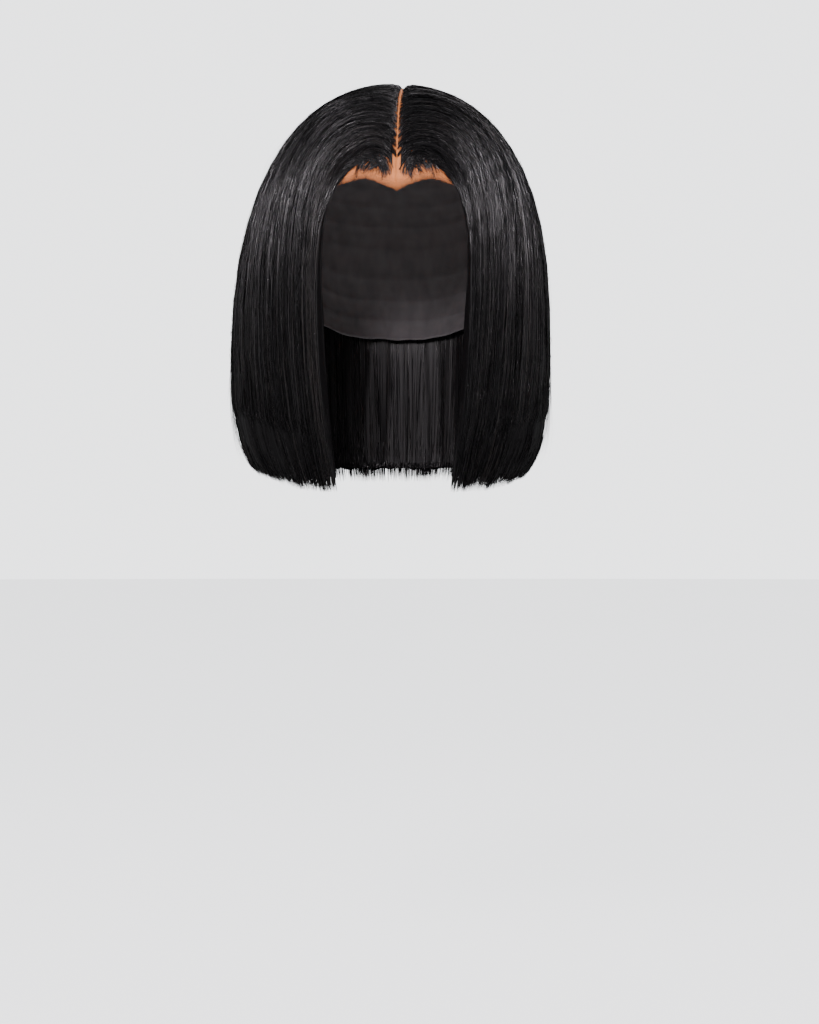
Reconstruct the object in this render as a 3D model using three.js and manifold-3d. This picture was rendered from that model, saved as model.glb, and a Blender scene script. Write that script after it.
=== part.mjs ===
// A chin-length bob wig with a middle part, in the form that it keeps while it is worn.
// Millimetres. +Z is up, -Y is towards the face and +X is towards the wearer's left.
// The origin is the inside of the crown, where the wig sits on the head. Depths are measured down from it.

import * as THREE from "three";
import { mergeVertices } from "three/addons/utils/BufferGeometryUtils.js";
import Module from "manifold-3d";

// The head that the cap is made for, a rounded form about its widest level
const HEAD_HALF_WIDTH = 76;
const HEAD_FRONT = 93;
const HEAD_BACK = 97;
const HEAD_CROWN = 95; // from the crown down to the widest level
const HEAD_BELOW = 105; // how the nape rounds in below that level

// The hair's outer form: its crown above the origin, and its reach to the side, front and back
const HAIR_TOP = 7.4;
const HAIR_HALF_WIDTH = 104.5;
const HAIR_FRONT = 98;
const HAIR_BACK = 112;
const FULLER_RIGHT = 4.3; // the hanging hair lies this far towards the wearer's right
const ROUNDNESS = 2.25; // exponent of the outlines seen from above: 2 is an ellipse, more is squarer
const FULLNESS = 2.55; // the same for the profiles

// Depth of the cut ends in front, at the sides and at the back
const TIPS_FRONT = 254;
const TIPS_SIDE = 248;
const TIPS_BACK = 246;

// Cap and lace, one shell cut in two by an ear-to-ear seam
const CAP_WALL = 1.2;
const SEAM_GAP = 0.4;
const SEAM_BEHIND_CROWN = 22;
const SEAM_TILT = 13; // degrees that the seam leans forward on its way to the ears

// The part, a slit between the two sides of the hair that shows the lace
const PART_WIDTH = 2;
const PART_FRONT_X = 0;
const PART_BACK_X = 6.5;
const PART_BEHIND_CROWN = 25;
const HAIRLINE = 58; // depth of the foremost hair roots
const FAN_BEHIND_PART = 4; // the roots behind the part's end stand on an arc this deep

// Hair masses
const HAIR_GAP = 1.6; // between the cap and the hair on it
const PANEL_GAP = 0.5; // between two masses side by side
const LAYER_GAP = 3.2; // between the nape hair and the hair that falls over it
const LAYER_SHARE = 0.45; // of the hair's thickness that is nape hair
const LAYER_TOP = 96; // depth where the hair over it starts to make room
const LAYER_FULL = 150; // depth where the nape hair has its whole thickness
const NAPE_TOP = 146; // depth where the nape hair is sewn on
const NAPE_SHORTER = 7; // the nape hair ends this far above the tips over it
const ROOT_RISE = 6; // distance from the part over which the hair rises to its thickness
const ROOT_SHARE = 0.3; // of its thickness that the hair has beside the part
const EDGE_SHARE = 0.4; // of the thickness that is missing inside the front edges
const LOCK_DEPTH = 1.6;
const TIP_RAGGED = 2; // the locks' ends differ by up to this

const LOCKS = 42; // right round the head, from one front edge to the other
const LOCK_UNEVENNESS = 0.28;
const LOCK_RHYTHM = 2.4;

// How the profile falls: the crown is flat for about this share of a strand's way
const CROWN_FLATNESS = 0.4;

// The hair's outer profile in three directions. level: depth of its widest reach; tuck: how slowly it draws in below
const PROFILES = {
  side: { reach: HAIR_HALF_WIDTH, level: 178, tuck: 102 },
  front: { reach: HAIR_FRONT, level: 95, tuck: 230 },
  back: { reach: HAIR_BACK, level: 115, tuck: 195 },
};

// The inside of the hanging hair, a row for each section below the head's widest level.
// down is a share of the way to the front tips; the rest are shares of the cap's reach at that level.
const INSIDE = [
  { down: 0, side: 1, front: 1, back: 1 },
  { down: 0.19, side: 1, front: 0.95, back: 0.985 },
  { down: 0.35, side: 1.02, front: 0.9, back: 0.915 },
  { down: 0.5, side: 1.055, front: 0.865, back: 0.885 },
  { down: 0.8, side: 1.05, front: 0.81, back: 0.85 },
  { down: 1, side: 1, front: 0.78, back: 0.82 },
];

// The edge of the cap, a row for each turn of its outline. turn is in degrees from straight ahead; depth is a share
// of the head's crown height.
const CAP_EDGE = [
  { turn: 0, depth: 0.74 },
  { turn: 12, depth: 0.66 },
  { turn: 26, depth: 0.7 },
  { turn: 45, depth: 0.76 },
  { turn: 64, depth: 0.95 },
  { turn: 78, depth: 1.24 },
  { turn: 90, depth: 1.16 },
  { turn: 101, depth: 1.04 },
  { turn: 115, depth: 1.16 },
  { turn: 132, depth: 1.43 },
  { turn: 155, depth: 1.58 },
  { turn: 180, depth: 1.62 },
];

// The way of a strand on either side, a row for each guide strand. across is a share of the way from the front edge
// to the middle of the back, root a share of the part's length. run and lean say how far the strand goes out and
// back at first, as shares of its length. bend and fall are directions in degrees, where it has turned down and at
// its end.
const GUIDES = [
  { across: 0, root: 0, run: 0.11, lean: 0.12, bend: 34, fall: 27 },
  { across: 0.22, root: 0.34, run: 0.14, lean: 0.07, bend: 58, fall: 51 },
  { across: 0.46, root: 0.66, run: 0.14, lean: 0.02, bend: 85, fall: 83 },
  { across: 0.7, root: 1, run: 0.13, lean: 0.02, bend: 122, fall: 122 },
  { across: 1, root: 1, run: 0, lean: 0.12, bend: 180, fall: 180 },
];
const CROWN_ACROSS = 0.7; // behind this share the roots stand on the arc behind the part
const BEND = 0.46; // share of its length by which a strand has turned down

const HAIR_COLOUR = 0x17151a;
const CAP_COLOUR = 0x1d1a1c;
const LACE_COLOUR = 0xc99a78;

const WALL_COLUMNS = 48;
const WALL_ROWS = 10;
const STRAND_STOPS = [0, 0.02, 0.05, 0.09, 0.14, 0.2, 0.27, 0.35, 0.44, 0.54, 0.64, 0.74, 0.83, 0.9, 0.96, 1];
const LOCK_STOPS = [0, 0.25, 0.5, 0.75]; // samples across one lock, the first in its groove
const NAPE_STOPS = [0, 0.1, 0.22, 0.4, 0.6, 0.8, 1];
const NAPE_LOCKS = 14;
const NAPE_TURN = 104; // degrees from straight ahead where the nape hair starts
const LAYER_TURN = 88; // degrees where the hair over it starts to make room

const rad = THREE.MathUtils.degToRad;
const { lerp, smoothstep } = THREE.MathUtils;
const power = (x) => Math.abs(x) ** ROUNDNESS;
const root = (x) => Math.max(x, 0) ** (1 / ROUNDNESS);
const steep = (x) => Math.abs(x) ** FULLNESS;

// A column of a table at any place between its rows, by a cubic through them
function between(table, key, at, column) {
  const last = table.length - 1;
  let i = 0;
  while (i < last - 1 && table[i + 1][key] < at) i++;
  const slope = (j) => {
    const a = table[Math.max(j - 1, 0)];
    const b = table[Math.min(j + 1, last)];
    return (b[column] - a[column]) / (b[key] - a[key]);
  };
  const [a, b] = [table[i], table[i + 1]];
  const step = b[key] - a[key];
  const t = (at - a[key]) / step;
  const [t2, t3] = [t * t, t * t * t];
  return (
    (2 * t3 - 3 * t2 + 1) * a[column] +
    (t3 - 2 * t2 + t) * step * slope(i) +
    (3 * t2 - 2 * t3) * b[column] +
    (t3 - t2) * step * slope(i + 1)
  );
}

// Reach of one of the hair's outer profiles at a depth
function reachAt(profile, depth) {
  const above = (profile.level - depth) / (profile.level + HAIR_TOP);
  const below = (depth - profile.level) / profile.tuck;
  return profile.reach * root(1 - steep(depth < profile.level ? above : below));
}

// Radius of the hair's outer form at a depth, in a direction given in radians from straight ahead
function outerRadius(turn, depth) {
  const ahead = Math.cos(turn) > 0 ? PROFILES.front : PROFILES.back;
  const across = power(Math.sin(turn) / reachAt(PROFILES.side, depth));
  const along = power(Math.cos(turn) / reachAt(ahead, depth));
  return 1 / root(across + along);
}

// The point of the outer form at a depth, in a direction
function outerPoint(turn, depth) {
  const radius = outerRadius(turn, depth);
  const shift = FULLER_RIGHT * Math.abs(Math.sin(turn)) * smoothstep(depth, 0, PROFILES.side.level);
  return new THREE.Vector3(radius * Math.sin(turn) - shift, -radius * Math.cos(turn), -depth);
}

// Depth of the cut ends in a direction
function tipDepth(turn) {
  const ahead = Math.cos(turn);
  return lerp(TIPS_SIDE, ahead > 0 ? TIPS_FRONT : TIPS_BACK, 1 - (1 - Math.abs(ahead)) ** 2);
}

// The strand map: a flat plan of the outer form with the crown in its middle and the tips on the unit circle.
// A place's distance from the middle is its share of a strand's length, and its direction is that on the head.
const FALL_SCALE = Math.hypot(1, CROWN_FLATNESS) - CROWN_FLATNESS;

function depthOnMap(turn, share) {
  const fall = (Math.hypot(share, CROWN_FLATNESS) - CROWN_FLATNESS) / FALL_SCALE;
  return lerp(-HAIR_TOP, tipDepth(turn), fall);
}

function fromMap(place) {
  const turn = Math.atan2(place.x, -place.y);
  const depth = depthOnMap(turn, place.length());
  return outerPoint(turn, depth);
}

function onMap(turn, share) {
  return new THREE.Vector2(share * Math.sin(turn), -share * Math.cos(turn));
}

// The place on the map over a point of the plan, found by halving
function toMap(x, y) {
  const turn = Math.atan2(x, -y);
  let [near, far] = [0, 1];
  for (let i = 0; i < 40; i++) {
    const middle = (near + far) / 2;
    if (outerRadius(turn, depthOnMap(turn, middle)) < Math.hypot(x, y)) near = middle;
    else far = middle;
  }
  return onMap(turn, near);
}

// Reach of the inside of the hair at a depth: the cap's, and below it the hanging hair's
function insideReach(name, head, depth) {
  const reach = head + CAP_WALL + HAIR_GAP;
  if (depth <= HEAD_CROWN) return reach;
  const down = Math.min((depth - HEAD_CROWN) / (TIPS_FRONT - HEAD_CROWN), 1);
  const hanging = between(INSIDE, "down", down, name);
  const onHead = root(1 - power((depth - HEAD_CROWN) / HEAD_BELOW));
  return reach * Math.max(hanging, onHead);
}

// The point inside the hair that lies behind a point of its outer form, towards the middle of the head
function insideOf(point) {
  const depth = Math.max(-point.z, HEAD_CROWN);
  const middle = new THREE.Vector3(0, 0, -depth);
  const way = point.clone().sub(middle).normalize();
  const side = insideReach("side", HEAD_HALF_WIDTH, depth);
  const ahead =
    way.y < 0 ? insideReach("front", HEAD_FRONT, depth) : insideReach("back", HEAD_BACK, depth);
  const top = HEAD_CROWN + CAP_WALL + HAIR_GAP;
  const radius = 1 / root(power(way.x / side) + power(way.y / ahead) + power(way.z / top));
  return middle.addScaledVector(way, radius);
}

// The part's slit, as the root of a strand at a share of its length on one side, or on the arc behind its end
const HAIRLINE_Y = -reachAt(PROFILES.front, HAIRLINE);

function rootOf(guide, side, across) {
  const x = lerp(PART_FRONT_X, PART_BACK_X, guide.root);
  const y = lerp(HAIRLINE_Y, PART_BEHIND_CROWN, guide.root);
  const past = Math.max((across - CROWN_ACROSS) / (1 - CROWN_ACROSS), 0) * (Math.PI / 2);
  return toMap(x + side * (PART_WIDTH / 2) * Math.cos(past), y + FAN_BEHIND_PART * Math.sin(past));
}

// The way of a strand on the map. around runs from -1, the front edge on the wearer's right, to 1, that on the left.
function strand(around) {
  const side = around < 0 ? -1 : 1;
  const across = 1 - Math.abs(around);
  const guide = {};
  for (const column of ["root", "run", "lean", "bend", "fall"])
    guide[column] = between(GUIDES, "across", across, column);
  guide.root = THREE.MathUtils.clamp(guide.root, 0, 1);
  const start = rootOf(guide, side, across);
  const out = start.clone().add(new THREE.Vector2(side * guide.run, guide.lean));
  const bend = onMap(rad(side * guide.bend), BEND);
  return new THREE.CubicBezierCurve(start, out, bend, onMap(rad(side * guide.fall), 1));
}

// Where lock number k starts, as a place around the head
function lockStart(k) {
  const uneven = (n) => n + LOCK_UNEVENNESS * Math.sin(LOCK_RHYTHM * n);
  return (2 * uneven(k)) / uneven(LOCKS) - 1;
}

// Share of the hair's thickness that is left to the nape hair, at a point of the outer form
function layerShare(point) {
  const turn = THREE.MathUtils.radToDeg(Math.atan2(Math.abs(point.x), -point.y));
  return LAYER_SHARE * smoothstep(-point.z, LAYER_TOP, LAYER_FULL) * smoothstep(turn, LAYER_TURN, NAPE_TURN);
}

// How long a lock is, as a share of the full length
function lockLength(k) {
  const ragged = 0.5 + 0.5 * Math.sin(k * k * 1.7 + k);
  return 1 - (TIP_RAGGED / TIPS_SIDE) * ragged;
}

// A point of the hair's outside, in or between the grooves of its locks
function outsidePoint(around, stop, groove, length) {
  const way = strand(around);
  const share = stop * length;
  const place = way.getPoint(share);
  const outer = fromMap(place);
  const inner = insideOf(outer);
  const thickness = outer.distanceTo(inner);
  const fromPart = outer.distanceTo(fromMap(way.getPoint(0)));
  const rise = lerp(ROOT_SHARE, 1, smoothstep(fromPart, 0, ROOT_RISE));
  const cut = (groove * LOCK_DEPTH * lerp(0.12, 1, share)) / thickness;
  return inner.lerp(outer, rise * (1 - Math.min(cut, 0.5)));
}

// A point of the hair's inside, which leaves room for the nape hair and thins towards the front edges
function insidePoint(around, stop, length) {
  const outer = fromMap(strand(around).getPoint(stop * length));
  const hanging = smoothstep(-outer.z, HAIRLINE, LAYER_TOP);
  const nearEdge = 1 - smoothstep(1 - Math.abs(around), 0, 0.16);
  return insideOf(outer).lerp(outer, Math.max(layerShare(outer), EDGE_SHARE * hanging * nearEdge));
}

// A closed body between an outer and an inner grid of points. Both have the same rows, and the outer grid has
// several columns for each of the inner one.
function bodyBetween(outer, inner) {
  const positions = [...outer.flat(), ...inner.flat()].flatMap((p) => p.toArray());
  const [columns, few, rows] = [outer.length, inner.length, outer[0].length];
  const per = (columns - 1) / (few - 1);
  const onOuter = (i, j) => i * rows + j;
  const onInner = (i, j) => columns * rows + i * rows + j;
  const faces = [];
  const quad = (a, b, c, d) => faces.push(a, c, b, a, d, c);
  for (let j = 0; j + 1 < rows; j++) {
    for (let i = 0; i + 1 < columns; i++)
      quad(onOuter(i, j), onOuter(i, j + 1), onOuter(i + 1, j + 1), onOuter(i + 1, j));
    for (let i = 0; i + 1 < few; i++)
      quad(onInner(i, j), onInner(i + 1, j), onInner(i + 1, j + 1), onInner(i, j + 1));
    quad(onOuter(0, j), onInner(0, j), onInner(0, j + 1), onOuter(0, j + 1));
    quad(onOuter(columns - 1, j), onOuter(columns - 1, j + 1), onInner(few - 1, j + 1), onInner(few - 1, j));
  }
  for (const [j, first] of [[0, true], [rows - 1, false]]) {
    const fan = (a, b, c) => (first ? faces.push(a, c, b) : faces.push(a, b, c));
    for (let i = 0; i + 1 < few; i++) {
      const turn = i * per + Math.ceil(per / 2);
      for (let k = i * per; k < turn; k++) fan(onInner(i, j), onOuter(k, j), onOuter(k + 1, j));
      fan(onInner(i, j), onOuter(turn, j), onInner(i + 1, j));
      for (let k = turn; k < (i + 1) * per; k++) fan(onInner(i + 1, j), onOuter(k, j), onOuter(k + 1, j));
    }
  }
  const geometry = new THREE.BufferGeometry();
  geometry.setAttribute("position", new THREE.Float32BufferAttribute(positions, 3));
  geometry.setIndex(faces);
  geometry.computeVertexNormals();
  return geometry;
}

// One mass of the hair, from one lock to another
function hairMass(firstLock, lastLock) {
  const inset = PANEL_GAP / 2 / (Math.PI * HAIR_HALF_WIDTH);
  const [start, end] = [lockStart(firstLock) + inset, lockStart(lastLock) - inset];
  const outer = [];
  const inner = [];
  for (let k = firstLock; k <= lastLock; k++) {
    const length = lockLength(k);
    const [here, next] = [lockStart(k), lockStart(k + 1)];
    const place = (share) => THREE.MathUtils.clamp(lerp(here, next, share), start, end);
    inner.push(STRAND_STOPS.map((stop) => insidePoint(place(0), stop, length)));
    for (const share of k < lastLock ? LOCK_STOPS : [0]) {
      const groove = 1 - Math.sin(Math.PI * share);
      outer.push(STRAND_STOPS.map((stop) => outsidePoint(place(share), stop, groove, length)));
    }
  }
  return bodyBetween(outer, inner);
}

// The hair sewn along the nape, which hangs under the rest and shows inside the wig
function napeHair() {
  const outer = [];
  const inner = [];
  for (let k = 0; k <= NAPE_LOCKS * 2; k++) {
    const turn = rad(lerp(360 - NAPE_TURN, NAPE_TURN, k / (NAPE_LOCKS * 2)));
    const groove = k % 2 === 0 ? 1 : 0;
    const column = NAPE_STOPS.map((stop) => {
      const depth = lerp(NAPE_TOP, tipDepth(turn) - NAPE_SHORTER - groove * TIP_RAGGED, stop);
      const over = outerPoint(turn, depth);
      const under = insideOf(over);
      const thickness = over.distanceTo(under);
      const share = layerShare(over) - LAYER_GAP / thickness;
      const cut = (groove * LOCK_DEPTH * stop) / thickness;
      return { out: under.clone().lerp(over, share), in: under.clone().lerp(over, cut) };
    });
    outer.push(column.map((pair) => pair.out));
    inner.push(column.map((pair) => pair.in));
  }
  return bodyBetween(outer, inner);
}

// The shell of cap and lace: the head's form and one wall over it, down to the cap's edge
function capShell() {
  const point = (turn, share, wall) => {
    const folded = Math.abs(THREE.MathUtils.euclideanModulo(turn + 180, 360) - 180);
    const edge = HEAD_CROWN * (1 - between(CAP_EDGE, "turn", folded, "depth"));
    const lower = edge < 0 ? edge / HEAD_BELOW : edge / HEAD_CROWN;
    const lowest = Math.acos(Math.sign(lower) * Math.abs(lower) ** (ROUNDNESS / 2));
    const tip = lowest * share;
    const height = Math.sign(Math.cos(tip)) * Math.abs(Math.cos(tip)) ** (2 / ROUNDNESS);
    const spread = Math.sin(tip) ** (2 / ROUNDNESS);
    const [x, y] = [Math.sin(rad(turn)), -Math.cos(rad(turn))];
    const ahead = (y < 0 ? HEAD_FRONT : HEAD_BACK) + wall;
    const radius = spread / root(power(x / (HEAD_HALF_WIDTH + wall)) + power(y / ahead));
    const tall = height > 0 ? HEAD_CROWN + wall : HEAD_BELOW;
    return new THREE.Vector3(radius * x, radius * y, height * tall - HEAD_CROWN);
  };
  const positions = [];
  const faces = [];
  const ring = WALL_ROWS * WALL_COLUMNS + 1; // vertices on each side of the wall
  for (const wall of [CAP_WALL, 0]) {
    positions.push(0, 0, wall);
    for (let j = 1; j <= WALL_ROWS; j++)
      for (let i = 0; i < WALL_COLUMNS; i++)
        positions.push(...point((360 * i) / WALL_COLUMNS, j / WALL_ROWS, wall).toArray());
  }
  const at = (layer, i, j) => layer * ring + (j === 0 ? 0 : 1 + (j - 1) * WALL_COLUMNS + (i % WALL_COLUMNS));
  for (let i = 0; i < WALL_COLUMNS; i++) {
    faces.push(at(0, i, 0), at(0, i, 1), at(0, i + 1, 1));
    faces.push(at(1, i, 0), at(1, i + 1, 1), at(1, i, 1));
    for (let j = 1; j < WALL_ROWS; j++) {
      faces.push(at(0, i, j), at(0, i, j + 1), at(0, i + 1, j + 1));
      faces.push(at(0, i, j), at(0, i + 1, j + 1), at(0, i + 1, j));
      faces.push(at(1, i, j), at(1, i + 1, j + 1), at(1, i, j + 1));
      faces.push(at(1, i, j), at(1, i + 1, j), at(1, i + 1, j + 1));
    }
    const rim = [at(0, i, WALL_ROWS), at(0, i + 1, WALL_ROWS), at(1, i + 1, WALL_ROWS), at(1, i, WALL_ROWS)];
    faces.push(rim[0], rim[3], rim[2], rim[0], rim[2], rim[1]);
  }
  const geometry = new THREE.BufferGeometry();
  geometry.setAttribute("position", new THREE.Float32BufferAttribute(positions, 3));
  geometry.setIndex(faces);
  return geometry;
}

const wasm = await Module();
wasm.setup();

function toSolid(geometry) {
  const bare = geometry.clone();
  bare.deleteAttribute("normal");
  bare.deleteAttribute("uv");
  const merged = mergeVertices(bare, 1e-4);
  return new wasm.Manifold(
    new wasm.Mesh({
      numProp: 3,
      vertProperties: new Float32Array(merged.attributes.position.array),
      triVerts: new Uint32Array(merged.index.array),
    }),
  );
}

function toGeometry(solid) {
  const mesh = solid.getMesh();
  const geometry = new THREE.BufferGeometry();
  geometry.setAttribute("position", new THREE.BufferAttribute(mesh.vertProperties, 3));
  geometry.setIndex(new THREE.BufferAttribute(mesh.triVerts, 1));
  geometry.computeVertexNormals();
  return geometry;
}

// Everything on the face's side of the ear-to-ear seam, moved back by a distance
function faceSide(back) {
  const size = 4 * HAIR_BACK;
  const block = new THREE.BoxGeometry(size, size, size);
  block.translate(0, -size / 2 + back, 0);
  block.rotateX(rad(-SEAM_TILT));
  block.translate(0, SEAM_BEHIND_CROWN, 0);
  return toSolid(block);
}

function part(name, geometry, material) {
  const mesh = new THREE.Mesh(geometry, material);
  mesh.name = name;
  return mesh;
}

const hair = new THREE.MeshStandardMaterial({ color: HAIR_COLOUR, roughness: 0.38, metalness: 0 });
const net = new THREE.MeshStandardMaterial({ color: CAP_COLOUR, roughness: 0.85, metalness: 0 });
const lace = new THREE.MeshStandardMaterial({ color: LACE_COLOUR, roughness: 0.8, metalness: 0 });

// The masses of the hair, each from one lock to another, counted round from the wearer's right front edge
const MASSES = [
  { name: "front_hair_right", from: 0, to: 7 },
  { name: "side_hair_right", from: 7, to: 14 },
  { name: "back_hair", from: 14, to: 28 },
  { name: "side_hair_left", from: 28, to: 35 },
  { name: "front_hair_left", from: 35, to: LOCKS },
];

const wig = new THREE.Group();
const shell = toSolid(capShell());
wig.add(part("lace_front", toGeometry(shell.intersect(faceSide(-SEAM_GAP / 2))), lace));
wig.add(part("wig_cap", toGeometry(shell.subtract(faceSide(SEAM_GAP / 2))), net));
wig.add(part("nape_hair", napeHair(), hair));
for (const mass of MASSES) wig.add(part(mass.name, hairMass(mass.from, mass.to), hair));

export default wig;
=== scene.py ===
import math

import bmesh
import bpy
import numpy as np
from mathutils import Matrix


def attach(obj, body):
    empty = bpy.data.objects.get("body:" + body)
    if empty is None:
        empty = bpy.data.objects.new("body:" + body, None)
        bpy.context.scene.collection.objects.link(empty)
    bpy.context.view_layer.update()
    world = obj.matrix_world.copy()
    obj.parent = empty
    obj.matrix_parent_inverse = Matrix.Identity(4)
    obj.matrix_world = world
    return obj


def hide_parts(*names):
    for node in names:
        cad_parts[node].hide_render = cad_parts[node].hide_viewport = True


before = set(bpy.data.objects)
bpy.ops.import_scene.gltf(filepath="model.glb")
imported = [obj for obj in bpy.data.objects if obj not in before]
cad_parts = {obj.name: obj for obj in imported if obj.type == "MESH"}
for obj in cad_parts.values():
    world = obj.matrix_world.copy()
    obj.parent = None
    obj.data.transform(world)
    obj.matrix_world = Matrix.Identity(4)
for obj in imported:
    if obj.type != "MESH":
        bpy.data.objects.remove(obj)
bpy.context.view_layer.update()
MM = 0.001

# The form of head, cap and hair, in millimetres, with the part's own sizes.
HEAD_HALF_WIDTH, HEAD_FRONT, HEAD_BACK, HEAD_CROWN, HEAD_BELOW = 76, 93, 97, 95, 105
HAIR_TOP, HAIR_HALF_WIDTH, HAIR_FRONT, HAIR_BACK, FULLER_RIGHT = 7.4, 104.5, 98, 112, 4.3
ROUNDNESS, FULLNESS = 2.25, 2.55
TIPS_FRONT, TIPS_SIDE, TIPS_BACK = 254, 248, 246
CAP_WALL, SEAM_GAP, SEAM_BEHIND_CROWN, SEAM_TILT = 1.2, 0.4, 22, 13
PART_WIDTH, PART_FRONT_X, PART_BACK_X, PART_BEHIND_CROWN = 2, 0, 6.5, 25
HAIRLINE, FAN_BEHIND_PART = 58, 4
HAIR_GAP, LAYER_GAP, LAYER_SHARE, LAYER_TOP, LAYER_FULL = 1.6, 3.2, 0.45, 96, 150
NAPE_TOP, NAPE_SHORTER, NAPE_TURN, LAYER_TURN = 146, 7, 104, 88
EDGE_SHARE = 0.4
LOCKS, LOCK_UNEVENNESS, LOCK_RHYTHM, LOCK_DEPTH = 42, 0.28, 2.4, 1.6
SUB_LOCKS, FINE_LOCKS = 4.3, 13.7
CORNER_RIGHT, CORNER_LEFT = 2.2, 3.4
CROWN_FLATNESS, CROWN_ACROSS, BEND = 0.4, 0.7, 0.46

PROFILES = {
    "side": {"reach": HAIR_HALF_WIDTH, "level": 178, "tuck": 102},
    "front": {"reach": HAIR_FRONT, "level": 95, "tuck": 230},
    "back": {"reach": HAIR_BACK, "level": 115, "tuck": 195},
}
INSIDE = {
    "down": (0, 0.19, 0.35, 0.5, 0.8, 1),
    "side": (1, 1, 1.02, 1.055, 1.05, 1),
    "front": (1, 0.95, 0.9, 0.865, 0.81, 0.78),
    "back": (1, 0.985, 0.915, 0.885, 0.85, 0.82),
}
CAP_EDGE = {
    "turn": (0, 12, 26, 45, 64, 78, 90, 101, 115, 132, 155, 180),
    "depth": (0.74, 0.66, 0.7, 0.76, 0.95, 1.24, 1.16, 1.04, 1.16, 1.43, 1.58, 1.62),
}
GUIDES = {
    "across": (0, 0.22, 0.46, 0.7, 1),
    "root": (0, 0.34, 0.66, 1, 1),
    "run": (0.11, 0.14, 0.14, 0.13, 0),
    "lean": (0.12, 0.07, 0.02, 0.02, 0.12),
    "bend": (34, 58, 85, 122, 180),
    "fall": (27, 51, 83, 122, 180),
}
MASSES = {
    "front_hair_right": (0, 7),
    "side_hair_right": (7, 14),
    "back_hair": (14, 28),
    "side_hair_left": (28, 35),
    "front_hair_left": (35, 42),
}


def power(x):
    return np.abs(x) ** ROUNDNESS


def root(x):
    return np.maximum(x, 0) ** (1 / ROUNDNESS)


def lerp(a, b, t):
    return a + (b - a) * t


def smooth(x, low, high):
    t = np.clip((x - low) / (high - low), 0, 1)
    return t * t * (3 - 2 * t)


def between(table, key, at, column):
    """A column of a table at any place between its rows, by a cubic through them."""
    k = np.array(table[key], float)
    v = np.array(table[column], float)
    n = len(k) - 1
    after, before = np.minimum(np.arange(n + 1) + 1, n), np.maximum(np.arange(n + 1) - 1, 0)
    slope = (v[after] - v[before]) / (k[after] - k[before])
    i = np.searchsorted(k[1:n], at, side="left")
    step = k[i + 1] - k[i]
    t = (at - k[i]) / step
    t2, t3 = t * t, t * t * t
    start = (2 * t3 - 3 * t2 + 1) * v[i] + (t3 - 2 * t2 + t) * step * slope[i]
    return start + (3 * t2 - 2 * t3) * v[i + 1] + (t3 - t2) * step * slope[i + 1]


def reach_at(profile, depth):
    above = (profile["level"] - depth) / (profile["level"] + HAIR_TOP)
    below = (depth - profile["level"]) / profile["tuck"]
    return profile["reach"] * root(1 - np.abs(np.where(depth < profile["level"], above, below)) ** FULLNESS)


def outer_radius(turn, depth):
    ahead = np.where(np.cos(turn) > 0, reach_at(PROFILES["front"], depth), reach_at(PROFILES["back"], depth))
    side = reach_at(PROFILES["side"], depth)
    across = power(np.sin(turn) / np.maximum(side, 1e-6))
    return 1 / root(across + power(np.cos(turn) / np.maximum(ahead, 1e-6)))


def outer_point(turn, depth):
    radius = outer_radius(turn, depth)
    shift = FULLER_RIGHT * np.abs(np.sin(turn)) * smooth(depth, 0, PROFILES["side"]["level"])
    return np.stack([radius * np.sin(turn) - shift, -radius * np.cos(turn), -depth + 0 * turn], -1)


def tip_depth(turn):
    ahead = np.cos(turn)
    return lerp(TIPS_SIDE, np.where(ahead > 0, TIPS_FRONT, TIPS_BACK), 1 - (1 - np.abs(ahead)) ** 2)


FALL_SCALE = math.hypot(1, CROWN_FLATNESS) - CROWN_FLATNESS


def depth_on_map(turn, share):
    fall = (np.hypot(share, CROWN_FLATNESS) - CROWN_FLATNESS) / FALL_SCALE
    return lerp(-HAIR_TOP, tip_depth(turn), fall)


def on_map(turn, share):
    return np.stack([share * np.sin(turn), -share * np.cos(turn)], -1)


def to_map(x, y):
    turn = np.arctan2(x, -y)
    near, far = np.zeros_like(turn), np.ones_like(turn)
    for _ in range(40):
        middle = (near + far) / 2
        inside = outer_radius(turn, depth_on_map(turn, middle)) < np.hypot(x, y)
        near, far = np.where(inside, middle, near), np.where(inside, far, middle)
    return on_map(turn, near)


def inside_reach(name, head, depth):
    reach = head + CAP_WALL + HAIR_GAP
    down = np.clip((depth - HEAD_CROWN) / (TIPS_FRONT - HEAD_CROWN), 0, 1)
    on_head = root(1 - power((depth - HEAD_CROWN) / HEAD_BELOW))
    return reach * np.where(depth <= HEAD_CROWN, 1, np.maximum(between(INSIDE, "down", down, name), on_head))


def inside_of(point):
    """The point inside the hair that lies behind a point of its outer form."""
    depth = np.maximum(-point[..., 2], HEAD_CROWN)
    middle = np.stack([0 * depth, 0 * depth, -depth], -1)
    way = point - middle
    way /= np.linalg.norm(way, axis=-1, keepdims=True)
    side = inside_reach("side", HEAD_HALF_WIDTH, depth)
    before = inside_reach("front", HEAD_FRONT, depth)
    ahead = np.where(way[..., 1] < 0, before, inside_reach("back", HEAD_BACK, depth))
    top = HEAD_CROWN + CAP_WALL + HAIR_GAP
    radius = 1 / root(power(way[..., 0] / side) + power(way[..., 1] / ahead) + power(way[..., 2] / top))
    return middle + way * radius[..., None]


def on_cap(point, lift=0.0):
    """The point of the cap's outside, or a little above it, that lies behind or before a point."""
    middle = np.array([0, 0, -HEAD_CROWN], float)
    way = point - middle
    way /= np.linalg.norm(way, axis=-1, keepdims=True)
    grow = CAP_WALL + lift
    ahead = np.where(way[..., 1] < 0, HEAD_FRONT, HEAD_BACK) + grow
    tall = np.where(way[..., 2] > 0, HEAD_CROWN + grow, HEAD_BELOW)
    wide = power(way[..., 0] / (HEAD_HALF_WIDTH + grow))
    radius = 1 / root(wide + power(way[..., 1] / ahead) + power(way[..., 2] / tall))
    return middle + way * radius[..., None]


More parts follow.
